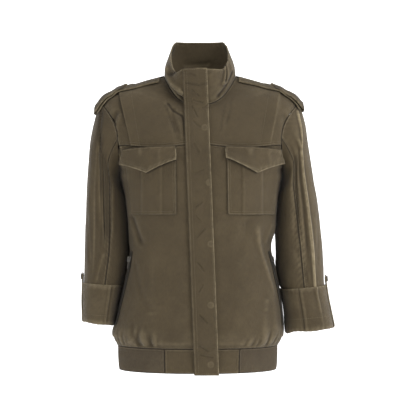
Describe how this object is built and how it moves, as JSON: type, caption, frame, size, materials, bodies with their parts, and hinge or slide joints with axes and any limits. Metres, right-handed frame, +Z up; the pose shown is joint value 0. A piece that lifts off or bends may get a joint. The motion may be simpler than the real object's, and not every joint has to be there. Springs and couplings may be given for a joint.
{
  "type": "utility jacket",
  "caption": "Hip-length cotton utility jacket with stand collar, fly front, chest patch pockets with pointed flaps, shoulder straps, turned-back cuffs with roll tabs and a rib hem band",
  "frame": {"origin": "middle of the neck opening at the height of the shoulders, where the wearer holds the jacket up", "axes": "+Z up along the body, -Y out of the front, +X towards the wearer's left"},
  "size_m": [0.5695, 0.2566, 0.741],
  "materials": {
    "twill": "washed olive cotton twill",
    "rib": "rib knit dyed to match the twill",
    "zip_tape": "woven zip tape with dark metal teeth",
    "dark_metal": "aged dark metal"
  },
  "bodies": {
    "jacket": {"back": "twill", "collar": "twill", "cuff_left": "twill", "cuff_right": "twill", "flap_left": "twill", "flap_right": "twill", "fly": "twill", "front_left": "twill", "front_right": "twill", "hem_band": "rib", "hem_front_left": "twill", "hem_front_right": "twill", "pocket_left": "twill", "pocket_right": "twill", "roll_tab_left": "twill", "roll_tab_right": "twill", "shoulder_strap_left": "twill", "shoulder_strap_right": "twill", "sleeve_top_left": "twill", "sleeve_top_right": "twill", "sleeve_under_left": "twill", "sleeve_under_right": "twill", "slider_left": "dark_metal", "slider_right": "dark_metal", "strap_button_left": "dark_metal", "strap_button_right": "dark_metal", "tab_button_left": "dark_metal", "tab_button_right": "dark_metal", "yoke_left": "twill", "yoke_right": "twill", "zip_left": "zip_tape", "zip_right": "zip_tape"},
    "pull_left": {"pull_left": "dark_metal"},
    "pull_right": {"pull_right": "dark_metal"}
  },
  "joints": [
    {"name": "pull_left_swing", "type": "hinge", "parent": "jacket", "child": "pull_left", "pos_m": [0.16331, -0.05252, -0.40069], "axis": [-0.3396, -0.935, -0.1023], "range_deg": [0, 90]},
    {"name": "pull_right_swing", "type": "hinge", "parent": "jacket", "child": "pull_right", "pos_m": [-0.15596, -0.05244, -0.40121], "axis": [-0.3363, 0.9389, 0.0733], "range_deg": [0, 90]}
  ]
}
